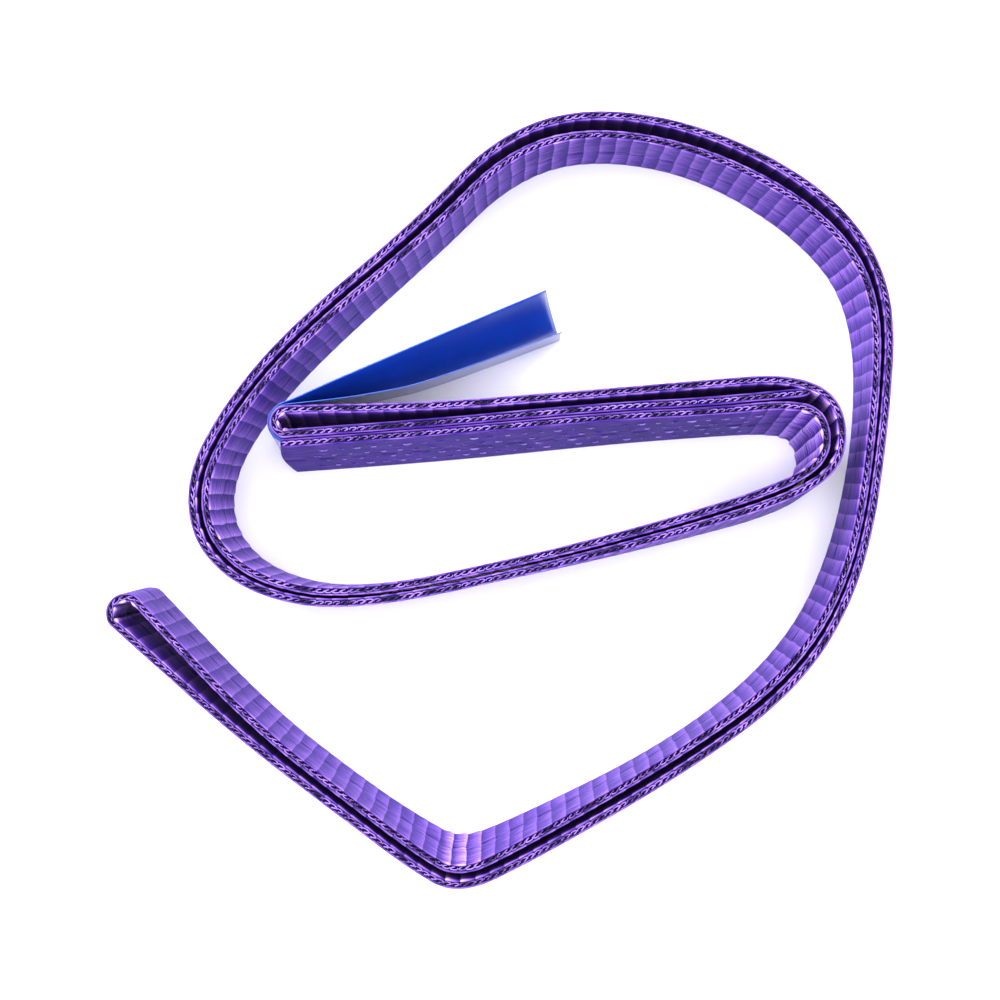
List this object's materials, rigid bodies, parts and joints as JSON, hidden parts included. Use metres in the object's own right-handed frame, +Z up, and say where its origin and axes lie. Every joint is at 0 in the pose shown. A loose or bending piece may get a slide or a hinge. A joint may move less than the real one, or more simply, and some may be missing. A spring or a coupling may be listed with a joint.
{
  "type": "flat web sling",
  "caption": "Endless flat woven web sling with a sewn overlap joint and a sewn-in two-leaf label, lying on its edge in a loose open spiral.",
  "frame": {"origin": "on the floor under the middle of the spiral's box", "axes": "+Z up, across the web's width; +X along the sewn joint, from its label end to its hairpin; +Y from the free leg's corner to the crown of the spiral"},
  "size_m": [0.224, 0.2206, 0.03],
  "materials": {
    "webbing": "woven polyester webbing, satin violet",
    "thread": "polyester sewing thread, light lilac",
    "label": "coated polyester label, blue"
  },
  "bodies": {
    "coil": {"web_joint_under_ply": "webbing", "web_joint_over_ply": "webbing", "web_joint_outer_ply": "webbing", "web_label_bight": "webbing", "web_hairpin_outer": "webbing", "web_hairpin_inner": "webbing", "web_lower_run_outer": "webbing", "web_lower_run_inner": "webbing", "web_left_bend_outer": "webbing", "web_left_bend_inner": "webbing", "web_rise_outer": "webbing", "web_rise_inner": "webbing", "label_wrap": "label", "label_tail": "label", "needle_thread_1": "thread", "needle_thread_2": "thread", "needle_thread_3": "thread", "needle_thread_4": "thread", "bobbin_thread_1": "thread", "bobbin_thread_2": "thread", "bobbin_thread_3": "thread", "bobbin_thread_4": "thread"},
    "crown": {"web_crown_outer": "webbing", "web_crown_inner": "webbing", "web_shoulder_outer": "webbing", "web_shoulder_inner": "webbing"},
    "flank": {"web_side_outer": "webbing", "web_side_inner": "webbing", "web_fall_outer": "webbing", "web_fall_inner": "webbing", "web_corner_outer": "webbing", "web_corner_inner": "webbing"},
    "leg": {"web_leg_outer": "webbing", "web_leg_inner": "webbing", "web_free_bight": "webbing"},
    "label_outer": {"label_outer_leaf": "label"},
    "label_inner": {"label_inner_leaf": "label"}
  },
  "joints": [
    {"name": "crown_bend", "type": "hinge", "parent": "coil", "child": "crown", "pos_m": [-0.00972, 0.08848, 0.015], "axis": [0, 0, 1], "range_deg": [0, 12]},
    {"name": "shoulder_bend", "type": "hinge", "parent": "crown", "child": "flank", "pos_m": [0.10703, 0.04083, 0.015], "axis": [0, 0, 1], "range_deg": [-3, 15]},
    {"name": "corner_bend", "type": "hinge", "parent": "flank", "child": "leg", "pos_m": [-0.01847, -0.10492, 0.015], "axis": [0, 0, 1], "range_deg": [-6, 25]},
    {"name": "label_outer_swing", "type": "hinge", "parent": "coil", "child": "label_outer", "pos_m": [-0.06067, 0.02798, 0.015], "axis": [0, 0, 1], "range_deg": [0, 14]},
    {"name": "label_inner_swing", "type": "hinge", "parent": "coil", "child": "label_inner", "pos_m": [-0.06067, 0.02738, 0.015], "axis": [0, 0, 1], "range_deg": [0, 7]}
  ],
  "couplings": [
    {"joint": "label_inner_swing", "follows": "label_outer_swing", "ratio": 0.5}
  ]
}
